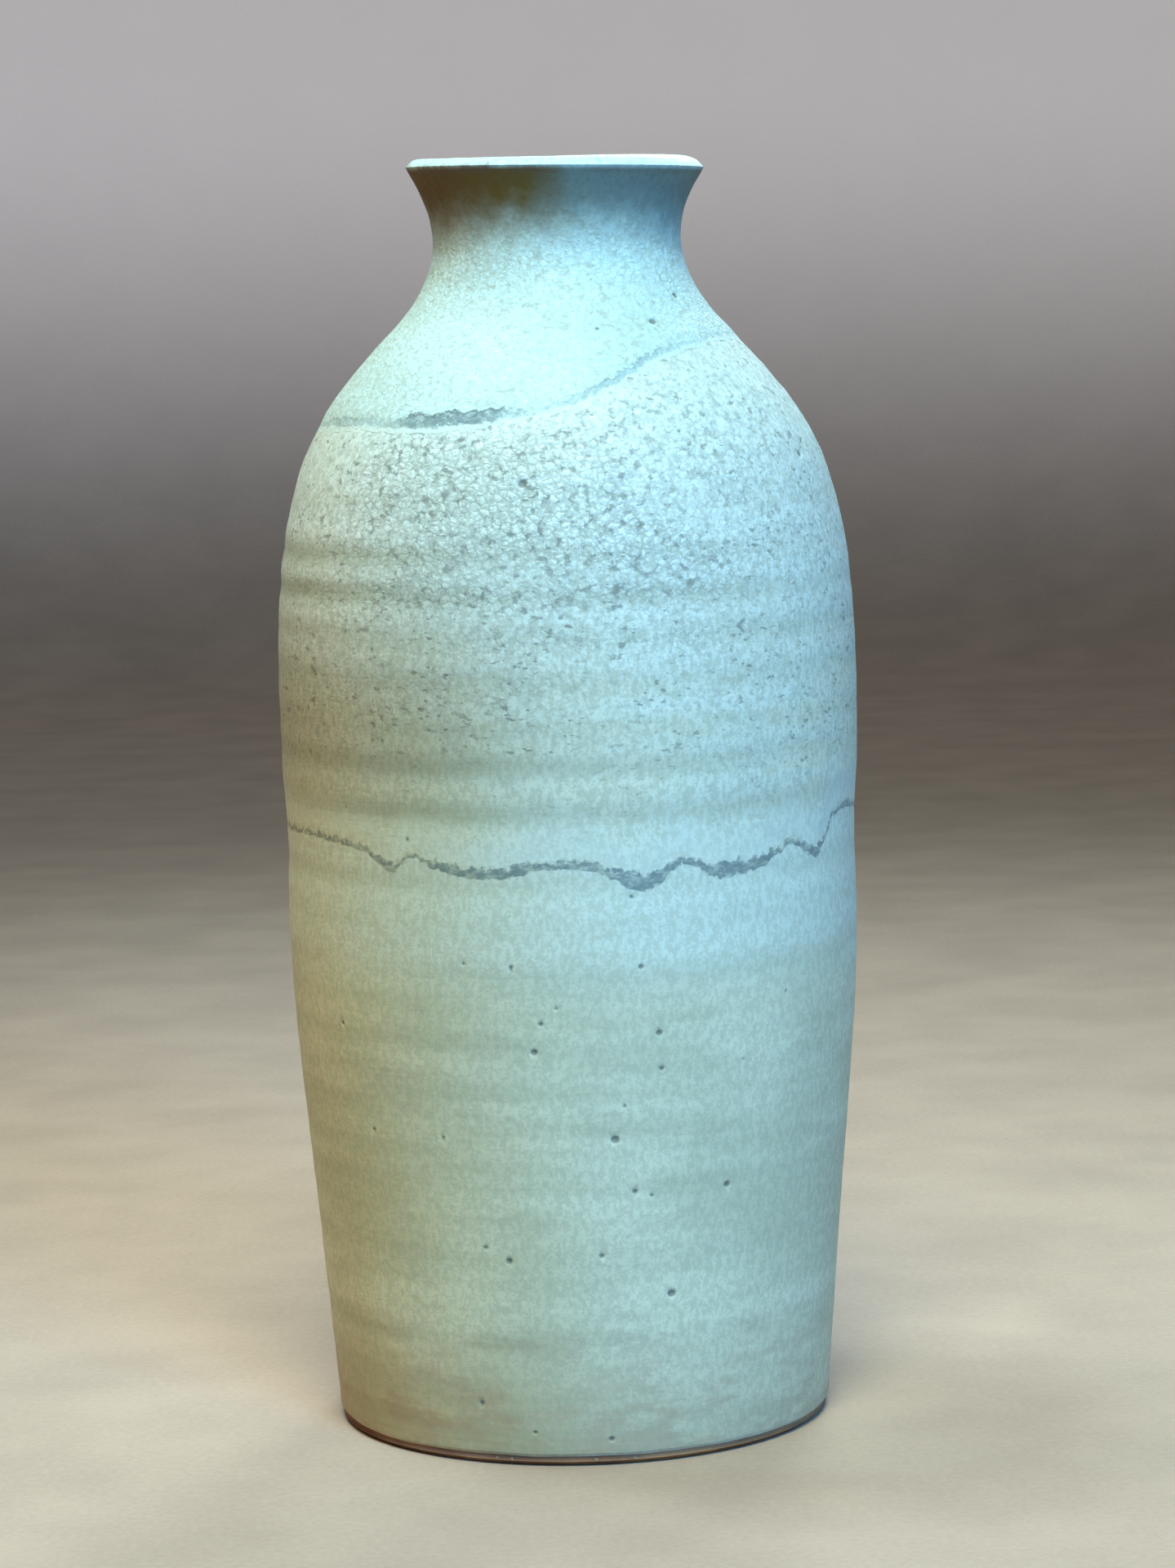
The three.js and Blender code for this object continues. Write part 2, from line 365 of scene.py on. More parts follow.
def spun(piece, sides):
    """The outline turned once round the axis into a closed wall, facing outwards."""
    turned = piece.modifiers.new("turned on the wheel", "SCREW")
    turned.axis = "Z"
    turned.angle = 2 * math.pi
    turned.steps = turned.render_steps = sides
    turned.use_merge_vertices = True
    turned.merge_threshold = 0.001 * MM
    turned.use_smooth_shade = True
    bpy.ops.object.modifier_apply(modifier=turned.name)
    bpy.ops.object.mode_set(mode="EDIT")
    bpy.ops.mesh.select_all(action="SELECT")
    bpy.ops.mesh.remove_doubles(threshold=0.001 * MM)
    bpy.ops.mesh.normals_make_consistent(inside=False)
    bpy.ops.object.mode_set(mode="OBJECT")


def closed_skin(name, outer, inner, sides):
    """A turned skin with two faces, each given by distances along the wall. inner runs back the other way."""
    faces = [(outer, 1.0), (inner, 0.0)]
    meets_axis = wall.at(outer[-1])[0] < 0.5
    if meets_axis:
        faces.reverse()
    along = np.concatenate([distances for distances, _ in faces])
    face = np.concatenate([np.full(len(distances), side) for distances, side in faces])
    points = wall.at(along) + wall.outward(along) * face[:, None]
    points[points[:, 0] < 0.5, 0] = 0.0
    piece = drawn_outline(points)
    piece.name = piece.data.name = name
    set_values(piece, "along", along)
    set_values(piece, "face", face)
    if not meets_axis:
        bpy.ops.object.mode_set(mode="EDIT")
        bpy.ops.mesh.select_all(action="DESELECT")
        bpy.ops.object.mode_set(mode="OBJECT")
        piece.data.vertices[0].select = piece.data.vertices[len(along) - 1].select = True
        bpy.ops.object.mode_set(mode="EDIT")
        bpy.ops.mesh.edge_face_add()
        bpy.ops.object.mode_set(mode="OBJECT")
    spun(piece, sides)
    return piece


def sharp_edges(piece):
    """Shades the skin smooth, but keeps the thin edge where its two faces meet."""
    bpy.ops.object.select_all(action="DESELECT")
    piece.select_set(True)
    bpy.context.view_layer.objects.active = piece
    bpy.ops.object.shade_smooth_by_angle(angle=math.radians(SHARP))


def finer_at_pinholes(piece):
    """Cuts the faces of the outer side finer round each pinhole, so that its bowl comes out round."""
    mesh = piece.data
    here = places(piece) / MM
    degrees = np.degrees(np.arctan2(here[:, 0], -here[:, 1]))
    along = get_values(piece, "along")
    radius = np.hypot(here[:, 0], here[:, 1])
    near = np.zeros(len(here), bool)
    for angle, distance, size in pinholes:
        round_way = (np.mod(degrees - angle + 180.0, 360.0) - 180.0) * math.pi / 180.0 * radius
        near |= np.hypot(round_way, along - distance) < size * 2.0 + 0.5
    near &= get_values(piece, "face") > 0.5
    corners = np.empty(len(mesh.loops), np.int32)
    mesh.loops.foreach_get("vertex_index", corners)
    starts = np.empty(len(mesh.polygons), np.int32)
    mesh.polygons.foreach_get("loop_start", starts)
    chosen = np.logical_and.reduceat(near[corners], starts)
    bpy.ops.object.select_all(action="DESELECT")
    piece.select_set(True)
    bpy.context.view_layer.objects.active = piece
    bpy.ops.object.mode_set(mode="EDIT")
    bpy.ops.mesh.select_all(action="DESELECT")
    bpy.ops.mesh.select_mode(type="FACE")
    bpy.ops.object.mode_set(mode="OBJECT")
    mesh.polygons.foreach_set("select", chosen)
    bpy.ops.object.mode_set(mode="EDIT")
    bpy.ops.mesh.subdivide(number_cuts=2)
    bpy.ops.mesh.select_mode(type="VERT")
    bpy.ops.object.mode_set(mode="OBJECT")


def spaced(*stretches):
    """Distances along the wall. Each stretch gives where it begins, where it ends and its spacing, in mm."""
    parts = [np.linspace(a, b, max(2, int(abs(b - a) / step) + 1))[:-1] for a, b, step in stretches]
    return np.concatenate([*parts, [stretches[-1][1]]])


def feathered(distance, size):
    """The height of an edge that thins away over size mm, from almost nothing at the edge to 1."""
    t = np.clip(distance / size, 0.0, 1.0)
    return 0.06 + 0.94 * t * t * (3.0 - 2.0 * t)


def rounded(distance, size):
    """The height of a rounded edge, from 0 at the edge to 1 where the glaze is at its full thickness."""
    return np.sqrt(1.0 - (1.0 - np.clip(distance / size, 0.0, 1.0)) ** 2)


def stand(piece, along, off, degrees):
    """Puts every vertex at its distance along the wall, so many mm off it, at its angle round the vase."""
    outline = wall.at(along) + wall.outward(along) * off[:, None]
    radius = np.maximum(outline[:, 0], 0.0)
    radius[wall.at(along)[:, 0] < 0.01] = 0.0
    turn = np.radians(degrees)
    height = outline[:, 1] + rim_rise(degrees, along)
    spots = np.stack([radius * np.sin(turn), -radius * np.cos(turn), height], axis=1) * MM
    piece.data.vertices.foreach_set("co", spots.astype(np.float32).ravel())
    piece.data.update()


def angles(piece, sides):
    """The angle of each vertex round the vase, in degrees from the front."""
    here = places(piece)
    degrees = np.degrees(np.arctan2(here[:, 0], -here[:, 1]))
    step = 360.0 / sides
    whole = np.round(degrees / step) * step
    return np.where(np.abs(degrees - whole) < 0.02, whole, degrees)


def lay_coat(name, outer, inner, edge, fade, under, over, soft, roll, lumps, end, tuck=0.0):
    """A coat of glaze from its lower edge up the wall: rolled at the edge, pitted, and thin where it ends."""
    nominal = outer[0]
    piece = closed_skin(name, outer, inner, SIDES)
    finer_at_pinholes(piece)
    degrees = angles(piece, SIDES)
    along = get_values(piece, "along")
    face = get_values(piece, "face")
    line = edge(degrees)
    along += (line - nominal) * np.clip(1.0 - (along - nominal) / fade, 0.0, 1.0)
    above = along - line
    height = wall.at(along)[:, 1]
    body = (feathered(above, soft) if soft > 1.0 else rounded(above, soft)) * rounded(end - along, 1.6)
    pit, mouth = pitted(degrees, along, wall.at(along)[:, 0])
    sink = tuck * np.clip((along - CREST + 1.0) / 4.0, 0.0, 1.0)
    relief = (over - under) + roll * np.exp(-((above - 1.3) / 1.1) ** 2) + lumps(degrees, along, height)
    outer_off = under - sink + body * relief - PIT_DEPTH * pit + PIT_MOUTH * mouth
    off = np.where(face > 0.5, outer_off, under - sink - COAT_BACK) + thrown(degrees, along)
    stand(piece, along, off, degrees)
    set_values(piece, "edge_mm", above)
    set_values(piece, "groove", grooves(degrees, height) * (along < CREST - 8.0))
    set_values(piece, "pit", pit * face)
    set_values(piece, "height_mm", height)
    sharp_edges(piece)
    return piece, degrees, along, height


# -------------------------------------------------------- the pieces

def thrown_clay():
    """The clay itself: all of its turned outline, with trimming marks under the foot."""
    path = Path(eased(clay_outline, 0.6))
    recess_rim = path.along[int(np.argmin(np.abs(path.points[:, 0] - RECESS_RADIUS)))]
    foot_top = path.length - wall.length
    outline = path.points
    keep = np.ones(len(outline), bool)
    keep[(path.along > foot_top + 6.0) & (np.arange(len(outline)) % 4 > 0)] = False
    keep[-1] = True
    piece = drawn_outline(outline[keep])
    piece.name = piece.data.name = "thrown_clay"
    set_values(piece, "along", path.along[keep])
    spun(piece, CLAY_SIDES)
    here = places(piece) / MM
    degrees = angles(piece, CLAY_SIDES)
    turn = np.radians(degrees)
    along = get_values(piece, "along")
    under_glaze = np.clip((along - foot_top - 0.2) / 4.0, 0.0, 1.0)
    radius = np.hypot(here[:, 0], here[:, 1])
    trimming = TRIMMING * np.sin(radius * 1.7 + turn) + 0.08 * np.sin(radius * 4.1 + 2 * turn)
    in_recess = np.clip((recess_rim - along) / 2.0, 0.0, 1.0) * np.clip(radius / 3.0, 0.0, 1.0)
    lift = np.where(under_glaze > 0, 0.0, in_recess * trimming)
    out = np.stack([np.interp(along, path.along, path.out[:, k]) for k in range(2)], axis=1)
    off = thrown(degrees, np.clip(along - foot_top, 0.0, wall.length)) * under_glaze
    spread = out[:, 0] * off
    here[:, 0] += spread * np.sin(turn)
    here[:, 1] -= spread * np.cos(turn)
    here[:, 2] += out[:, 1] * off + lift + rim_rise(degrees, along - foot_top) * under_glaze
    on_bevel = np.exp(-((along - foot_top + 0.9) / 0.8) ** 2)
    here[:, 2] += np.abs(on_bevel * 0.10 * clouds(degrees, along, 1.4, stretch=2.0, seed=31))
    piece.data.vertices.foreach_set("co", (here * MM).astype(np.float32).ravel())
    piece.data.update()
    return piece


def poured_liner():
    """The glaze inside: from under the lip down the bore, round the belly and across the floor."""
    start = CREST + LINER_START
    outer = spaced((start, CREST + 40.0, 1.0), (CREST + 40.0, wall.length, 2.4))
    inner = spaced((wall.length, start, 9.0))
    piece = closed_skin("poured_liner", outer, inner, LINER_SIDES)
    degrees = angles(piece, LINER_SIDES)
    along = get_values(piece, "along")
    face = get_values(piece, "face")
    body = rounded(along - start, 0.8)
    rings = RING_DEPTH * np.sin((along + degrees * RING_RISE / 360.0) * 2 * math.pi / RING_RISE)
    rings *= np.clip((along - CREST - 14.0) / 20.0, 0.0, 1.0)
    rings *= np.clip((wall.length - 6.0 - along) / 20.0, 0.0, 1.0)
    drops = 0.05 * clouds(degrees, along, 7.0, seed=41)
    off = np.where(face > 0.5, 0.05 + body * (LINER + drops + rings), 0.0) + thrown(degrees, along)
    stand(piece, along, off, degrees)
    set_values(piece, "groove", -np.abs(rings) / RING_DEPTH)
    set_values(piece, "edge_mm", along - CREST)
    return piece


def base_lumps(degrees, along, height):
    return 0.05 * clouds(degrees, height, 9.0, seed=11) + 0.02 * clouds(degrees, height, 2.4, seed=12)


def dipped_base_coat():
    """The first coat, which shows from the foot to the middle of the wall."""
    shown = outer_wall.distance_at_height(127.0)
    neck = outer_wall.distance_at_height(208.0)
    end = CREST - BASE_END
    outer = spaced((0.0, 6.0, 0.6), (6.0, shown, 1.06), (shown, neck, 8.0), (neck, end, 3.0))
    inner = spaced((end, neck, 3.5), (neck, 0.0, 9.0))

    def foot_line(degrees):
        return 0.15 + 0.22 * clouds(degrees, np.zeros_like(degrees), 9.0, seed=13)

    piece, *_ = lay_coat("dipped_base_coat", outer, inner, foot_line, fade=8.0, under=0.05, over=BASE_COAT,
                         soft=0.9, roll=0.06, lumps=base_lumps, end=end)
    return piece


def second_lumps(degrees, along, height):
    crawled = np.clip((height - 150.0) / 35.0, 0.0, 1.0) * np.clip((CREST - 10.0 - along) / 10.0, 0.0, 1.0)
    small = (0.03 + 0.07 * crawled) * clouds(degrees, along, 3.2, seed=14)
    return small + 0.04 * clouds(degrees, along, 10.0, seed=15)


def second_coat():
    """The second coat, over the upper half, down to the lobed line round the middle."""
    low, turn_in, high = (outer_wall.distance_at_height(z) for z in (118.5, 158.0, 217.0))
    end = CREST - SECOND_END
    outer = spaced((low, low + 3.0, 0.4), (low + 3.0, turn_in, 1.1), (turn_in, high, 0.74), (high, end, 2.6))
    inner = spaced((end, high, 3.5), (high, low, 8.0))
    edge = ragged(edge_distance(MID_EDGE), 0.35, 16)
    piece, degrees, _, height = lay_coat("second_coat", outer, inner, edge, fade=24.0, under=BASE_COAT,
                                         over=BASE_COAT + COAT, soft=9.0, roll=0.0, lumps=second_lumps,
                                         end=end)
    set_values(piece, "crawl", crawl(degrees, height))
    set_values(piece, "hang", np.clip((119.0 - wall.at(edge(degrees))[:, 1]) / 5.0, 0.0, 1.0))
    return piece


# Where the glaze drew up into beads: degrees, height, half the width in degrees, half the height, strength
CRAWLED = [
    (-22, 197.0, 26, 4.2, 0.80), (-16, 189, 32, 7.5, 0.50), (-10, 178, 38, 4.5, 0.45),
    (-6, 169.6, 46, 3.0, 0.55), (-8, 184, 62, 15.0, 0.28), (10, 162, 42, 2.4, 0.35),
    (0, 153, 50, 7.0, 0.20), (22, 204, 24, 7.0, 0.40), (26, 191, 44, 12.0, 0.28),
    (40, 178, 36, 5.0, 0.25), (150, 190, 60, 12.0, 0.45), (240, 196, 40, 7.0, 0.50),
    (200, 170, 70, 3.0, 0.45),
]


def crawl(degrees, height):
    """How strongly the glaze has drawn up into beads, from 0 to 1."""
    amount = 0.04 + 0.14 * np.clip((height - 128.0) / 40.0, 0.0, 1.0)
    for angle, level, width, rise, strength in CRAWLED:
        away = (np.mod(degrees - angle + 180.0, 360.0) - 180.0) / width
        amount = amount + strength * np.exp(-away ** 4 - ((height - level) / rise) ** 2)
    return np.clip(amount * (1.0 + 0.5 * clouds(degrees, height, 8.0, seed=17)), 0.0, 1.0)


def neck_lumps(degrees, along, height):
    shoulder = np.clip((height - 200.0) / 8.0, 0.0, 1.0) * np.clip((240.0 - height) / 10.0, 0.0, 1.0)
    small = (0.02 + 0.06 * shoulder) * clouds(degrees, along, 2.3, seed=18)
    return small + 0.04 * clouds(degrees, along, 9.0, seed=19)


def neck_coat():
    """The last coat, over the shoulder, the neck and the lip, and a little way down inside the lip."""
    low = outer_wall.distance_at_height(206.0)
    end = CREST + NECK_END
    outer = spaced((low, low + 3.0, 0.4), (low + 3.0, LIP_CORNER, 0.62), (LIP_CORNER, CREST, 0.5),
                   (CREST, end, 0.5))
    inner = spaced((end, low, 3.5))
    edge = ragged(edge_distance(SHOULDER_EDGE), 0.30, 20)
    under = BASE_COAT + COAT
    piece, degrees, along, height = lay_coat("neck_coat", outer, inner, edge, fade=34.0, under=under,
                                             over=under + COAT, soft=5.0, roll=0.10, lumps=neck_lumps,
                                             end=end, tuck=TUCK)
    stain = np.exp(-((degrees + 26.0) / 15.0) ** 4) + 0.35 * np.exp(-((degrees + 62.0) / 16.0) ** 2)
    stain += 0.38 * np.exp(-((degrees - 16.0) / 16.0) ** 4)
    set_values(piece, "stain", np.clip(stain + 0.14, 0.0, 1.0))
    set_values(piece, "lip_mm", along - LIP_CORNER)
    # How far round to the left the painted warm light under the lip reaches
    drift = degrees + 10.0 * clouds(degrees, height, 12.0, seed=21)
    warm_lit_side = np.clip((8.0 - drift) / 22.0, 0.0, 1.0) * np.clip((drift + 190.0) / 50.0, 0.0, 1.0)
    set_values(piece, "warm_lit_side", warm_lit_side)
    return piece


# -------------------------------------------------------- shader nodes

class Nodes:
    """Adds nodes to a shader tree. What feeds a socket is another node's socket, or a plain value."""

    def __init__(self, tree):
        self.tree = tree

    def add(self, kind, feeds=(), **settings):
        node = self.tree.nodes.new(kind)
        for name, value in settings.items():
            setattr(node, name, value)
        for name, value in dict(feeds).items():
            if isinstance(value, bpy.types.NodeSocket):
                self.tree.links.new(value, node.inputs[name])
            else:
                node.inputs[name].default_value = value
        return node

    def group(self, tree, **feeds):
        return self.add("ShaderNodeGroup", feeds, node_tree=tree)

    def maths(self, operation, first, second=0.0, third=0.0, clamp=False):
        feeds = {0: first, 1: second, 2: third}
        return self.add("ShaderNodeMath", feeds, operation=operation, use_clamp=clamp).outputs[0]

    def times(self, first, second, clamp=False):
        return self.maths("MULTIPLY", first, second, clamp=clamp)

    def between(self, value, low, high, from_low=0.0, to_high=1.0):
        """A smooth step: from_low where the value is under low, to_high where it is over high."""
        feeds = {"Value": value, "From Min": low, "From Max": high, "To Min": from_low, "To Max": to_high}
        return self.add("ShaderNodeMapRange", feeds, interpolation_type="SMOOTHSTEP").outputs["Result"]

    def speckle(self, vector, size, detail=2.0, rough=0.5):
        """Noise from 0 to 1 with lumps about size mm across."""
        feeds = {"Vector": vector, "Scale": 1.0 / (size * MM), "Detail": detail, "Roughness": rough}
        return self.add("ShaderNodeTexNoise", feeds).outputs["Fac"]

    def stretched(self, vector, level, upright):
        """The vector squeezed so that a pattern on it comes out long round the vase and low."""
        feeds = {"Vector": vector, "Scale": (level, level, upright)}
        return self.add("ShaderNodeMapping", feeds).outputs["Vector"]

    def mixed(self, amount, first, second, blend="MIX"):
        node = self.add("ShaderNodeMix", data_type="RGBA", blend_type=blend)
        for socket, value in ((node.inputs[0], amount), (node.inputs[6], first), (node.inputs[7], second)):
            if isinstance(value, bpy.types.NodeSocket):
                self.tree.links.new(value, socket)
            elif socket.type == "RGBA":
                socket.default_value = (*value, 1.0)
            else:
                socket.default_value = value
        return node.outputs[2]

    def measured(self, name):
        """A number that the mesh carries at each vertex."""
        return self.add("ShaderNodeAttribute", attribute_name=name).outputs["Fac"]


def node_group(name, takes, gives):
    """An empty shader group with its inputs and outputs, the nodes to fill it with, and its two ends."""
    group = bpy.data.node_groups.new(name, "ShaderNodeTree")
    for label, value in takes.items():
        kind = "NodeSocketVector" if value is None else "NodeSocketFloat"
        socket = group.interface.new_socket(label, in_out="INPUT", socket_type=kind)
        if value is not None:
            socket.default_value = value
    for label in gives:
        group.interface.new_socket(label, in_out="OUTPUT", socket_type="NodeSocketFloat")
    nodes = Nodes(group)
    return group, nodes, nodes.add("NodeGroupInput").outputs, nodes.add("NodeGroupOutput").inputs


def cloudy_glaze():
    """Where a glaze runs paler or darker: broad clouds, and soft bands laid round the vase."""
    takes = {"Vector": None, "Size": 30.0, "Bands": 0.4}
    group, n, taken, given = node_group("cloudy glaze", takes, ["Cloud"])
    scale = n.maths("DIVIDE", 1.0 / MM, taken["Size"])
    broad = n.add("ShaderNodeTexNoise",
                  {"Vector": taken["Vector"], "Scale": scale, "Detail": 3.0, "Roughness": 0.5})
    bands = n.speckle(n.stretched(taken["Vector"], 0.10, 1.0), 5.0, detail=3.0)
    both = n.maths("MULTIPLY_ADD", n.maths("SUBTRACT", bands, 0.5), taken["Bands"], broad.outputs["Fac"])
    n.tree.links.new(n.between(both, 0.30, 0.70), given["Cloud"])
    return group


def fine_grain():
    """The stony grain of a satin glaze: specks under a millimetre across, and a skin like orange peel."""
    group, n, taken, given = node_group("fine grain", {"Vector": None}, ["Speck", "Peel"])
    small = n.speckle(taken["Vector"], 0.55, detail=2.0, rough=0.6)
    upright = n.speckle(n.stretched(taken["Vector"], 1.0, 0.6), 1.1, detail=1.0)
    both = n.maths("ADD", small, n.maths("SUBTRACT", upright, 0.5))
    n.tree.links.new(n.between(both, 0.30, 0.72), given["Speck"])
    peel = n.maths("ADD", n.speckle(taken["Vector"], 1.6, detail=1.0), n.times(small, 0.35))
    n.tree.links.new(peel, given["Peel"])
    return group


def drawn_up_beads():
    """Glaze that crawled as it melted into round beads, with dark gaps where they meet, and dark ticks."""
    takes = {"Vector": None, "Size": 1.4, "Amount": 1.0}
    group, n, taken, given = node_group("drawn up beads", takes, ["Gap", "Bead"])
    scale = n.maths("DIVIDE", 1.0 / MM, taken["Size"])
    finer = n.times(scale, 1.4)
    wander = n.add("ShaderNodeTexNoise", {"Vector": taken["Vector"], "Scale": finer})
    feeds = {0: wander.outputs["Color"], 1: (1.9 * MM, 1.9 * MM, 1.2 * MM), 2: taken["Vector"]}
    place = n.add("ShaderNodeVectorMath", feeds, operation="MULTIPLY_ADD").outputs["Vector"]
    place = n.stretched(place, 0.82, 1.0)
    cells = {"Vector": place, "Scale": scale, "Randomness": 1.0}
    near = n.add("ShaderNodeTexVoronoi", cells, feature="F1")
    rim = n.add("ShaderNodeTexVoronoi", cells, feature="DISTANCE_TO_EDGE")
    patchy = n.between(n.speckle(taken["Vector"], 1.8, detail=3.0, rough=0.6), 0.40, 0.62)
    corner = n.between(near.outputs["Distance"], 0.44, 0.72)
    crack = n.between(rim.outputs["Distance"], 0.0, 0.22, 0.45, 0.0)
    corner = n.times(corner, patchy)
    crack = n.times(crack, taken["Amount"])
    gap = n.times(n.maths("MAXIMUM", corner, crack), taken["Amount"])
    fine = n.speckle(n.stretched(taken["Vector"], 0.55, 1.0), 1.1, detail=2.0, rough=0.55)
    some = n.between(n.speckle(taken["Vector"], 7.0, detail=3.0), 0.34, 0.62, 0.15, 0.9)
    tick = n.times(n.between(fine, 0.57, 0.67), some)
    tick = n.times(tick, n.between(taken["Amount"], 0.0, 0.12))
    n.tree.links.new(n.maths("MAXIMUM", gap, tick, clamp=True), given["Gap"])
    dome = n.between(rim.outputs["Distance"], 0.0, 0.36)
    n.tree.links.new(n.times(dome, taken["Amount"]), given["Bead"])
    return group


def glaze_line():
    """The dark line that a thick glaze edge leaves, measured in mm and ragged by the glaze's own grain."""
    takes = {"Vector": None, "Distance": 0.0, "Start": 0.0, "Width": 1.0, "Raggedness": 0.8}
    group, n, taken, given = node_group("glaze line", takes, ["Line"])
    wander = n.maths("SUBTRACT", n.speckle(taken["Vector"], 1.5, detail=3.0, rough=0.6), 0.5)
    place = n.maths("MULTIPLY_ADD", wander, n.times(taken["Raggedness"], 2.0), taken["Distance"])
    inside = n.maths("SUBTRACT", place, taken["Start"])
    rise = n.between(inside, -0.25, 0.25)
    over = n.maths("SUBTRACT", inside, taken["Width"])
    fall = n.between(over, -0.35, 0.45, 1.0, 0.0)
    n.tree.links.new(n.times(rise, fall), given["Line"])
    return group


def painted_warm_side():
    """How far each place lies towards the left side, where warm light and shade are painted into the glaze's
    colour.
    """
    group, n, taken, given = node_group("painted warm side light", {"Vector": None}, ["Side"])
    split = n.add("ShaderNodeSeparateXYZ", {"Vector": taken["Vector"]}).outputs
    wander = n.maths("MULTIPLY_ADD", n.speckle(taken["Vector"], 40.0, detail=2.0), 0.03, split["X"])
    n.tree.links.new(n.between(wander, -0.036, 0.028, 1.0, 0.0), given["Side"])
    return group


CLOUDY = cloudy_glaze()
WARM_SIDE_LIGHT = painted_warm_side()
GRAIN = fine_grain()
BEADS = drawn_up_beads()
LINE = glaze_line()


def new_material(name, roughness, specular):
    """A material with only its Principled shader, the nodes to build it with, and its Object coordinates."""
    material = bpy.data.materials.new(name)
    material.use_nodes = True
    surface = material.node_tree.nodes["Principled BSDF"]
    surface.inputs["Roughness"].default_value = roughness
    surface.inputs["Specular IOR Level"].default_value = specular
    n = Nodes(material.node_tree)
    return material, surface, n, n.add("ShaderNodeTexCoord").outputs["Object"]


def with_painted_side_light(n, here, colour, amount=0.8):
    """The colour with painted light on the left side: warmer and more olive there, as painted warm lamp
    light, and darker about half way up, as painted shade.
    """
    side = n.group(WARM_SIDE_LIGHT, Vector=here).outputs["Side"]
    height = n.measured("height_mm")
    low = n.times(side, n.between(height, 140.0, 185.0, 1.0, 0.15))
    colour = n.mixed(n.times(low, amount), colour, PAINTED_WARM_LIGHT, blend="MULTIPLY")
    middle = n.times(n.between(height, 124.0, 140.0), n.between(height, 148.0, 172.0, 1.0, 0.0))
    return n.mixed(n.times(side, middle), colour, PAINTED_SIDE_SHADE, blend="MULTIPLY")


def finish(n, surface, colour, height, roughness=None):
    """Feeds the shader: its colour, a height in mm as a bump, and where it varies its roughness."""
    n.tree.links.new(colour, surface.inputs["Base Color"])
    bump = n.add("ShaderNodeBump", {"Height": height, "Strength": 1.0, "Distance": MM})
    n.tree.links.new(bump.outputs["Normal"], surface.inputs["Normal"])
    if roughness is not None:
        n.tree.links.new(roughness, surface.inputs["Roughness"])


def grained(n, grain, colour, amount):
    """The colour with that much of the glaze's olive grain in it."""
    return n.mixed(n.times(n.maths("SUBTRACT", 1.0, grain["Speck"]), amount), colour, OLIVE)


def pinholed(n, colour):
    """The colour, dark where a pinhole bottoms out."""
    return n.mixed(n.times(n.between(n.measured("pit"), 0.15, 0.7), 0.85), colour, GAP_GREY)


def thrown_skin(n, here, grain):
    """A glaze's relief in mm: orange peel, and the fine lines that the fingers left round the vase."""
    lines = n.speckle(n.stretched(here, 0.06, 1.0), 1.3, detail=2.0)
    return n.maths("MULTIPLY_ADD", lines, 0.05, n.times(grain["Peel"], 0.05))


def satin(n, grain, dull, bright):
    """A roughness that runs with the grain, from dull to bright."""
    return n.between(grain["Speck"], 0.0, 1.0, dull, bright)


# Glaze and clay colours, in linear light, and the painted light and shade laid over them
CELADON = (0.56, 0.67, 0.54)
PALE_CELADON = (0.53, 0.70, 0.66)
GREY_CELADON = (0.45, 0.54, 0.42)
OLIVE = (0.27, 0.34, 0.25)
SLATE = (0.12, 0.20, 0.21)
GAP_GREY = (0.13, 0.17, 0.15)
BUFF = (0.40, 0.40, 0.31)
CHALK = (0.62, 0.72, 0.66)
IRON_BROWN = (0.11, 0.07, 0.035)
FIRED_CLAY = (0.33, 0.19, 0.10)
DARK_CLAY = (0.17, 0.09, 0.05)
LINER_GREEN = (0.30, 0.40, 0.35)
SKY_CELADON = (0.50, 0.76, 0.77)
MIST_CELADON = (0.46, 0.70, 0.70)
HIGH_CELADON = (0.58, 0.76, 0.74)
# Painted warm light on the left side, and painted shade there about half way up
PAINTED_WARM_LIGHT = (1.00, 0.82, 0.57)
PAINTED_SIDE_SHADE = (0.73, 0.70, 0.69)
# Painted shade under the flare of the lip, over thin glaze: brown where warm light is painted, teal where
# cool light is painted
UNDER_LIP_SHADE_BROWN = (0.11, 0.072, 0.010)
UNDER_LIP_SHADE_TEAL = (0.07, 0.11, 0.10)
# Browner, thinner glaze near the foot, with painted warm bounce light on the left
FOOT_TINT = (0.76, 0.62, 0.52)


FOOT_BAND_TO = 32.0  # height up to which the glaze near the foot is browner and blotched: thinner glaze, and painted warm bounce light on the left
STREAK = 25.0  # height of the faint brown streak above the foot


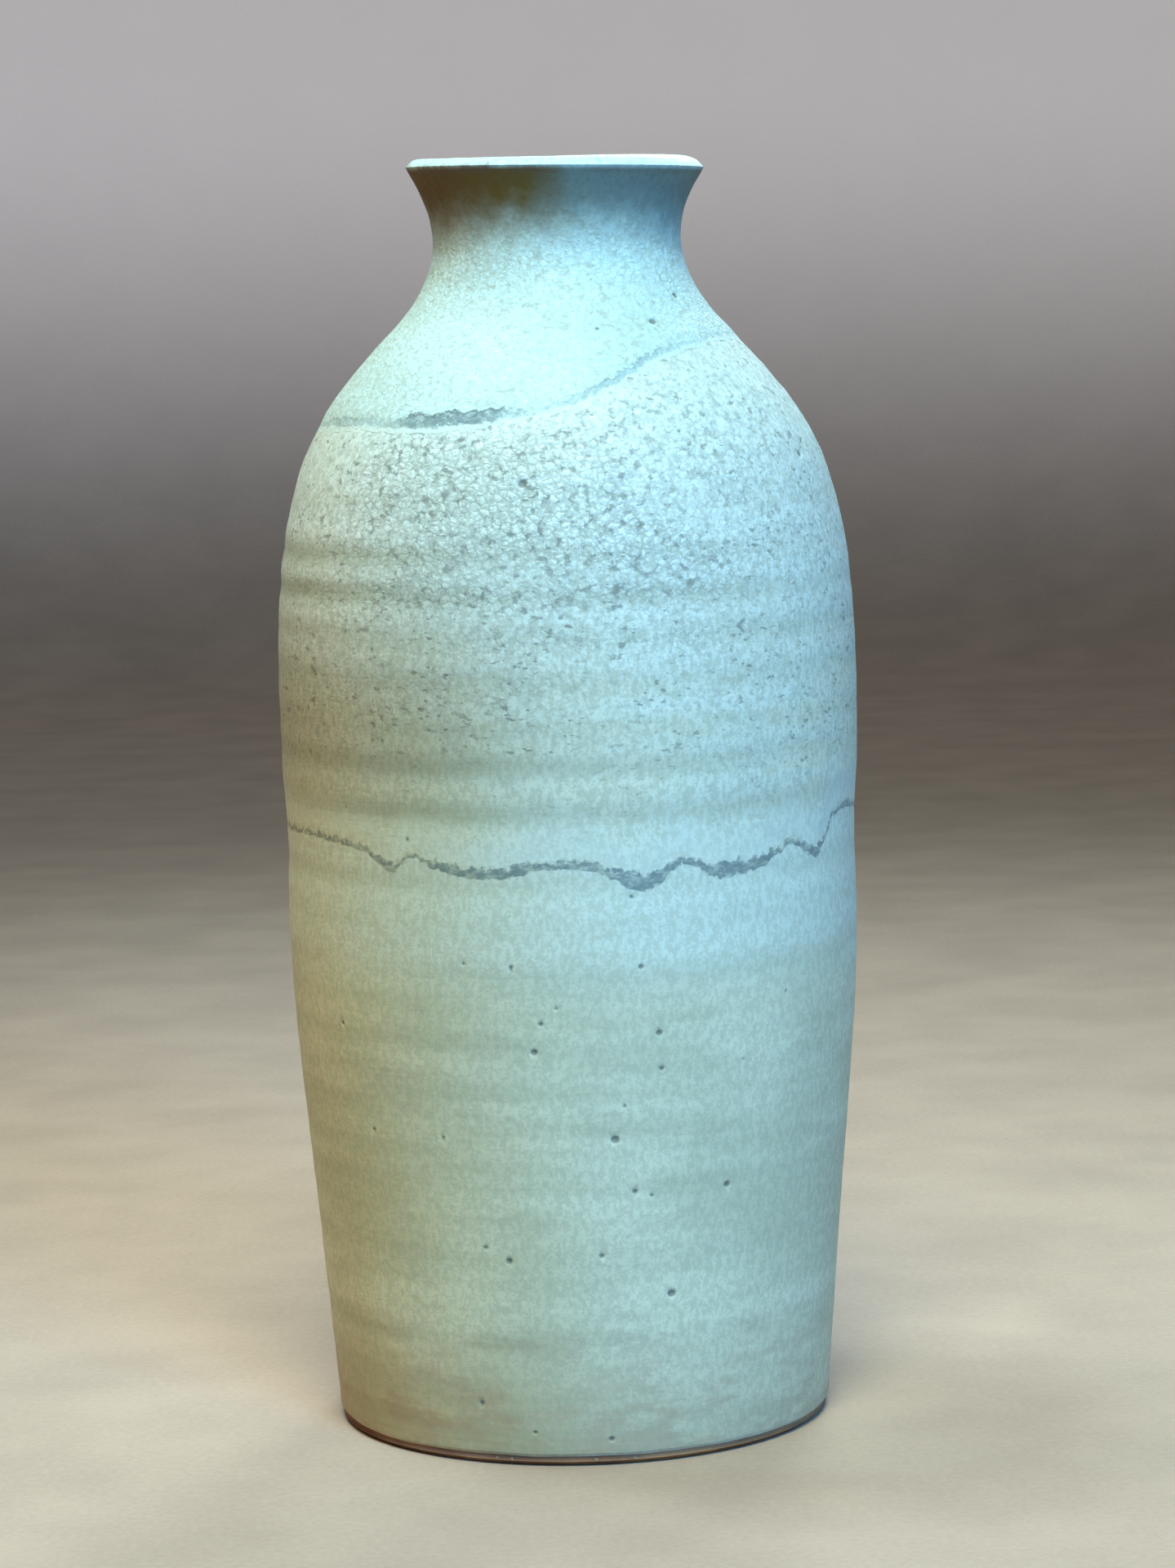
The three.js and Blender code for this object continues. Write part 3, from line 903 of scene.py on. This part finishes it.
def base_glaze():
    """Celadon over the lower half, paler above, blotched towards the foot and browner there: thinner glaze,
    with painted warm bounce light on the left.
    """
    material, surface, n, here = new_material("dipped base glaze", 0.5, 0.32)
    cloud = n.group(CLOUDY, Vector=here, Size=36.0, Bands=0.8).outputs["Cloud"]
    grain = n.group(GRAIN, Vector=here).outputs
    colour = n.mixed(cloud, GREY_CELADON, CELADON)
    height = n.measured("height_mm")
    colour = n.mixed(n.times(n.between(height, 88.0, 106.0), 0.8), colour, PALE_CELADON)
    groove = n.times(n.measured("groove"), -0.60, clamp=True)
    colour = n.mixed(groove, colour, OLIVE)
    low = n.between(height, 8.0, FOOT_BAND_TO, 1.0, 0.0)
    stretched = n.stretched(here, 0.35, 1.0)
    blotch = n.between(n.speckle(stretched, 6.0, detail=4.0, rough=0.65), 0.42, 0.62)
    colour = n.mixed(n.times(n.times(low, blotch), 0.75), colour, BUFF)
    # Painted warm bounce light on the left, over the browner thin glaze all round the foot
    side = n.group(WARM_SIDE_LIGHT, Vector=here).outputs["Side"]
    foot_brown_and_warm_light = n.maths("MULTIPLY_ADD", side, 0.50, 0.42)
    foot_brown_and_warm_light = n.times(n.between(height, 3.0, FOOT_BAND_TO, 1.0, 0.0), foot_brown_and_warm_light)
    colour = n.mixed(foot_brown_and_warm_light, colour, FOOT_TINT, blend="MULTIPLY")
    above = n.between(height, STREAK, STREAK + 3.5, 1.0, 0.0)
    streak = n.times(n.between(height, STREAK - 3.0, STREAK), above)
    broken = n.between(n.speckle(stretched, 5.0, detail=4.0, rough=0.65), 0.45, 0.66)
    streak = n.times(streak, broken)
    colour = n.mixed(n.times(streak, 0.22), colour, IRON_BROWN)
    fleck = n.between(n.speckle(here, 2.2, detail=3.0, rough=0.7), 0.66, 0.74)
    colour = n.mixed(n.times(fleck, 0.35), colour, SLATE)
    colour = grained(n, grain, colour, 0.38)
    edge = n.measured("edge_mm")
    rim = n.group(LINE, Vector=here, Distance=edge, Start=-0.6, Width=0.9, Raggedness=0.8).outputs["Line"]
    colour = n.mixed(n.times(rim, 0.45), colour, CHALK)
    colour = pinholed(n, colour)
    relief = thrown_skin(n, here, grain)
    # Painted warm light on the left side, and painted shade there about half way up
    finish(n, surface, with_painted_side_light(n, here, colour), relief, satin(n, grain, 0.64, 0.48))
    return material


def second_glaze():
    """Celadon that drew up into beads under the shoulder, with a dark line along its lower edge."""
    material, surface, n, here = new_material("second glaze", 0.5, 0.4)
    cloud = n.group(CLOUDY, Vector=here, Size=28.0, Bands=0.6).outputs["Cloud"]
    grain = n.group(GRAIN, Vector=here).outputs
    beads = n.group(BEADS, Vector=here, Size=1.45, Amount=n.measured("crawl")).outputs
    colour = n.mixed(n.maths("MULTIPLY_ADD", cloud, 0.6, 0.2), CELADON, PALE_CELADON)
    colour = n.mixed(n.between(n.measured("height_mm"), 142.0, 172.0, 0.0, 0.75), colour, HIGH_CELADON)
    groove = n.times(n.measured("groove"), -0.75, clamp=True)
    colour = n.mixed(groove, colour, OLIVE)
    colour = grained(n, grain, colour, 0.46)
    colour = n.mixed(n.times(beads["Gap"], 0.80), colour, GAP_GREY)
    edge = n.measured("edge_mm")
    hang = n.measured("hang")
    pale = n.times(n.between(edge, 1.0, 3.0), n.between(edge, 4.0, 12.0, 1.0, 0.0))
    colour = n.mixed(n.times(pale, 0.45), colour, PALE_CELADON)
    wide = n.maths("MULTIPLY_ADD", hang, 2.1, 1.1)
    line = n.group(LINE, Vector=here, Distance=edge, Start=-0.1, Width=wide, Raggedness=2.4).outputs["Line"]
    streaky = n.between(n.speckle(n.stretched(here, 0.5, 1.0), 1.2, detail=3.0, rough=0.7), 0.30, 0.62)
    line = n.times(line, n.maths("MULTIPLY_ADD", streaky, 0.50, 0.40))
    colour = n.mixed(line, colour, SLATE)
    colour = pinholed(n, colour)
    relief = thrown_skin(n, here, grain)
    relief = n.maths("MULTIPLY_ADD", beads["Bead"], 0.08, relief)
    # Painted warm light on the left side, and painted shade there about half way up
    finish(n, surface, with_painted_side_light(n, here, colour), relief, satin(n, grain, 0.64, 0.48))
    return material


def neck_glaze():
    """A bluer celadon, thin under the lip and darkened there by painted shade, brown on the left and teal on
    the right as painted warm and cool light, with a dark band along its lower edge.
    """
    material, surface, n, here = new_material("neck glaze", 0.5, 0.4)
    cloud = n.group(CLOUDY, Vector=here, Size=26.0, Bands=0.4).outputs["Cloud"]
    grain = n.group(GRAIN, Vector=here).outputs
    height = n.measured("height_mm")
    shoulder = n.between(height, 198.0, 206.0, 0.45, 0.85)
    amount = n.times(shoulder, n.between(height, 228.0, 248.0, 1.0, 0.15))
    beads = n.group(BEADS, Vector=here, Size=1.3, Amount=amount).outputs
    colour = n.mixed(cloud, MIST_CELADON, SKY_CELADON)
    colour = grained(n, grain, colour, 0.34)
    colour = n.mixed(n.times(beads["Gap"], 0.62), colour, OLIVE)
    lip = n.measured("lip_mm")
    warm_lit_side = n.measured("warm_lit_side")
    patchy = n.speckle(here, 5.0, detail=4.0, rough=0.6)
    # Painted shade under the flare of the lip, over thin glaze there: brown where warm light is painted, teal
    # where cool light is painted
    thin = n.between(n.maths("MULTIPLY_ADD", patchy, 9.0, height), 234.5, 252.5)
    thin = n.times(thin, n.between(lip, -0.5, 0.1, 1.0, 0.0))
    shade = n.mixed(warm_lit_side, UNDER_LIP_SHADE_TEAL, UNDER_LIP_SHADE_BROWN)
    colour = n.mixed(n.times(thin, n.maths("MULTIPLY_ADD", warm_lit_side, 0.17, 0.83)), colour, shade)
    edge = n.measured("edge_mm")
    stain = n.measured("stain")
    wide = n.maths("MULTIPLY_ADD", stain, 2.2, 0.5)
    band = n.group(LINE, Vector=here, Distance=edge, Start=1.2, Width=wide, Raggedness=1.8).outputs["Line"]
    start = n.maths("ADD", wide, 0.8)
    top = n.group(LINE, Vector=here, Distance=edge, Start=start, Width=0.5, Raggedness=2.0).outputs["Line"]
    patchy = n.between(n.speckle(n.stretched(here, 0.6, 1.0), 1.6, detail=3.0, rough=0.7), 0.30, 0.60)
    band = n.times(band, n.maths("MULTIPLY_ADD", patchy, 0.5, 0.35))
    dark = n.maths("MULTIPLY_ADD", top, 0.55, band)
    colour = n.mixed(n.times(dark, stain, clamp=True), colour, SLATE)
    # A painted highlight along the raised roll at the coat's edge, over the thicker glaze there
    roll = n.group(LINE, Vector=here, Distance=edge, Start=-0.5, Width=1.5, Raggedness=0.5).outputs["Line"]
    colour = n.mixed(n.times(roll, 0.7), colour, PALE_CELADON)
    broken = n.group(LINE, Vector=here, Distance=lip, Start=-1.0, Width=0.9, Raggedness=0.7).outputs["Line"]
    broken = n.times(broken, n.between(n.speckle(here, 7.0, detail=3.0), 0.35, 0.55))
    # Stronger on the left, where warm light is painted
    broken = n.times(broken, n.maths("MULTIPLY_ADD", warm_lit_side, 0.60, 0.20))
    colour = n.mixed(broken, colour, IRON_BROWN)
    colour = pinholed(n, colour)
    relief = n.times(grain["Peel"], 0.05)
    relief = n.maths("MULTIPLY_ADD", beads["Bead"], 0.09, relief)
    # Painted warm light on the left side, and painted shade there about half way up
    finish(n, surface, with_painted_side_light(n, here, colour, 0.9), relief, satin(n, grain, 0.62, 0.46))
    return material


def liner_glaze():
    """The glossier green glaze inside."""
    material, surface, n, here = new_material("liner glaze", 0.35, 0.5)
    cloud = n.group(CLOUDY, Vector=here, Size=24.0, Bands=0.8).outputs["Cloud"]
    grain = n.group(GRAIN, Vector=here).outputs
    colour = n.mixed(cloud, LINER_GREEN, CELADON)
    colour = n.mixed(n.times(n.measured("groove"), -0.4, clamp=True), colour, OLIVE)
    colour = grained(n, grain, colour, 0.25)
    relief = n.times(grain["Peel"], 0.04)
    finish(n, surface, colour, relief, satin(n, grain, 0.45, 0.30))
    return material


def bare_stoneware():
    """Toasted clay with iron spots and pale grog, which shows only under the foot's glaze line."""
    material, surface, n, here = new_material("bare fired stoneware", 0.85, 0.3)
    cloud = n.group(CLOUDY, Vector=here, Size=18.0, Bands=0.5).outputs["Cloud"]
    grain = n.group(GRAIN, Vector=here).outputs
    colour = n.mixed(cloud, DARK_CLAY, FIRED_CLAY)
    iron = n.between(n.speckle(here, 1.1, detail=2.0, rough=0.7), 0.64, 0.72)
    colour = n.mixed(n.times(iron, 0.8), colour, DARK_CLAY)
    grog = n.between(n.speckle(here, 0.9, detail=1.0), 0.70, 0.76)
    colour = n.mixed(n.times(grog, 0.5), colour, BUFF)
    relief = n.maths("MULTIPLY_ADD", grog, 0.06, n.times(grain["Peel"], 0.12))
    finish(n, surface, colour, relief, satin(n, grain, 0.92, 0.78))
    return material


# -------------------------------------------------------- the vase, piece by piece

PIECES = [
    (thrown_clay, bare_stoneware, "clay_body", "stoneware"),
    (poured_liner, liner_glaze, "liner_glaze", "liner_glaze"),
    (dipped_base_coat, base_glaze, "base_glaze_coat", "base_glaze"),
    (second_coat, second_glaze, "second_glaze_coat", "second_glaze"),
    (neck_coat, neck_glaze, "neck_glaze_coat", "neck_glaze"),
]
for make, finished_with, node, slot in PIECES:
    piece = make()
    piece.data.materials.clear()
    piece.data.materials.append(finished_with())
    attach(piece, "root")
    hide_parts(node)


# -------------------------------------------------------- floor, light and camera

def plain_surface(name, colour):
    material, surface, n, here = new_material(name, 0.9, 0.15)
    fine = n.times(n.speckle(here, 1.5), 0.06)
    mottle = n.maths("MULTIPLY_ADD", n.speckle(here, 40.0, detail=4.0), 0.10, fine)
    darker = tuple(0.8 * part for part in colour)
    finish(n, surface, n.mixed(n.between(mottle, 0.04, 0.12), darker, colour), mottle)
    split = n.add("ShaderNodeSeparateXYZ", {"Vector": here}).outputs
    behind = n.times(n.between(split["Z"], 0.0, 0.35), n.between(split["Y"], 0.7, 1.9, 0.12, 1.0))
    glow = n.mixed(behind, (0.0, 0.0, 0.0), BACKDROP_GLOW)
    n.tree.links.new(glow, surface.inputs["Emission Color"])
    surface.inputs["Emission Strength"].default_value = 1.0
    return material


FLOOR = (0.44, 0.36, 0.28)
BACKDROP_GLOW = (0.38, 0.37, 0.38)
FLOOR_RADIUS = 1500.0  # where the floor starts to sweep up, in mm
SWEEP = 500.0
BACKDROP_TOP = 2300.0


def studio():
    """A round floor that sweeps up into a wall, far enough out for a camera on any side of the vase."""
    level = cad_low[2] / MM
    turns = np.radians(np.linspace(0.0, 90.0, 10))
    sweep = [(FLOOR_RADIUS + SWEEP * math.sin(t), level + SWEEP * (1.0 - math.cos(t))) for t in turns]
    top = (FLOOR_RADIUS + SWEEP, BACKDROP_TOP)
    floor = drawn_outline(np.array([(0.0, level), (FLOOR_RADIUS / 3, level), *sweep, top]))
    floor.name = floor.data.name = "floor_and_sweep"
    spun(floor, 96)
    floor.data.materials.append(plain_surface("pale floor", FLOOR))


# name, degrees round from the front, degrees up, colour, and strength in watts
LIGHTS = [
    ("overhead", 0, 58, (0.98, 1.00, 0.77), 3.4),
    ("skylight_behind", -120, 68, (0.65, 0.85, 1.00), 2.0),
    ("window", 28, 25, (0.10, 0.46, 1.00), 2.9),
    ("lamp", -100, 12, (1.00, 0.42, 0.15), 0.6),
    ("back_fill", 165, 35, (0.80, 0.95, 1.00), 1.6),
]
LIGHT_DISTANCE = 1.4
LIGHT_SIZE = 0.55
LIGHT_SPREAD = 70.0
WORLD = (0.01, 0.01, 0.01)


def lights():
    middle = (Vector(cad_low) + Vector(cad_high)) / 2
    for name, turn, up, colour, watts in LIGHTS:
        lamp = bpy.data.lights.new(name, "AREA")
        lamp.shape = "DISK"
        lamp.size = LIGHT_SIZE
        lamp.spread = math.radians(LIGHT_SPREAD)
        lamp.color = colour
        lamp.energy = watts
        turn, up = math.radians(turn), math.radians(up)
        away = Vector((math.sin(turn) * math.cos(up), -math.cos(turn) * math.cos(up), math.sin(up)))
        holder = bpy.data.objects.new(name, lamp)
        holder.visible_camera = False
        holder.location = middle + away * LIGHT_DISTANCE
        holder.rotation_euler = away.to_track_quat("Z", "Y").to_euler()
        bpy.context.scene.collection.objects.link(holder)
    world = bpy.data.worlds.new("soft room light")
    world.use_nodes = True
    world.node_tree.nodes["Background"].inputs["Color"].default_value = (*WORLD, 1.0)
    bpy.context.scene.world = world


LENS = 103.65
CAMERA_PLACE = (0.00354, -0.90597, 0.23248)
CAMERA_DOWN = 6.5906  # degrees
CAMERA_ROLL = -1.358


def camera():
    """A camera a little above the shoulder, looking slightly down, 0.9 m in front of the vase."""
    lens = bpy.data.cameras.new("camera")
    lens.lens = LENS
    lens.sensor_width = 36.0
    eye = bpy.data.objects.new("camera", lens)
    tilt = Matrix.Rotation(math.radians(90.0 - CAMERA_DOWN), 4, "X")
    roll = Matrix.Rotation(math.radians(CAMERA_ROLL), 4, "Z")
    eye.matrix_world = Matrix.Translation(CAMERA_PLACE) @ tilt @ roll
    bpy.context.scene.collection.objects.link(eye)
    bpy.context.scene.camera = eye


studio()
lights()
camera()
bpy.context.scene.view_settings.view_transform = "Standard"
